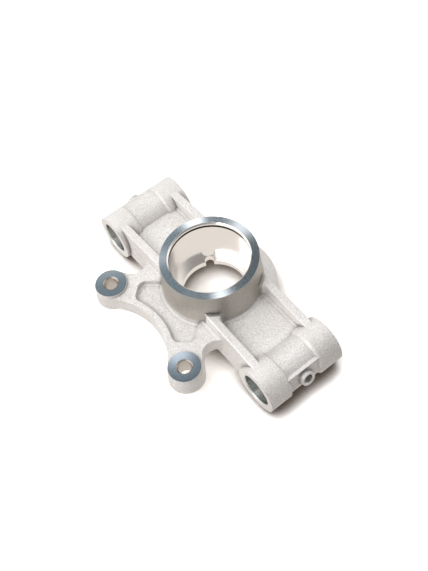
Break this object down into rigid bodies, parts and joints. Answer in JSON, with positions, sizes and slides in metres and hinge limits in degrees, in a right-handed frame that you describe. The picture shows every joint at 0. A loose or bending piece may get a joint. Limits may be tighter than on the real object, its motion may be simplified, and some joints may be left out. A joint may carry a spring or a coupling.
{
  "type": "steering knuckle",
  "caption": "Cast aluminium steering knuckle: a ring hub for a wheel bearing, arms that end in pivot sleeves, and a plate with ears for a brake caliper.",
  "frame": {"origin": "on the wheel bearing's axis, at the shoulder that the bearing's outer ring stops against", "axes": "+Z out of the mouth that the bearing enters, X along the line of the two pivot sleeves, caliper ears towards -Y"},
  "size_m": [0.2184, 0.1244, 0.0563],
  "materials": {
    "cast_aluminium": "bead-blasted casting with machined faces and bores"
  },
  "bodies": {
    "root": {"knuckle_casting": "cast_aluminium"}
  },
  "joints": []
}
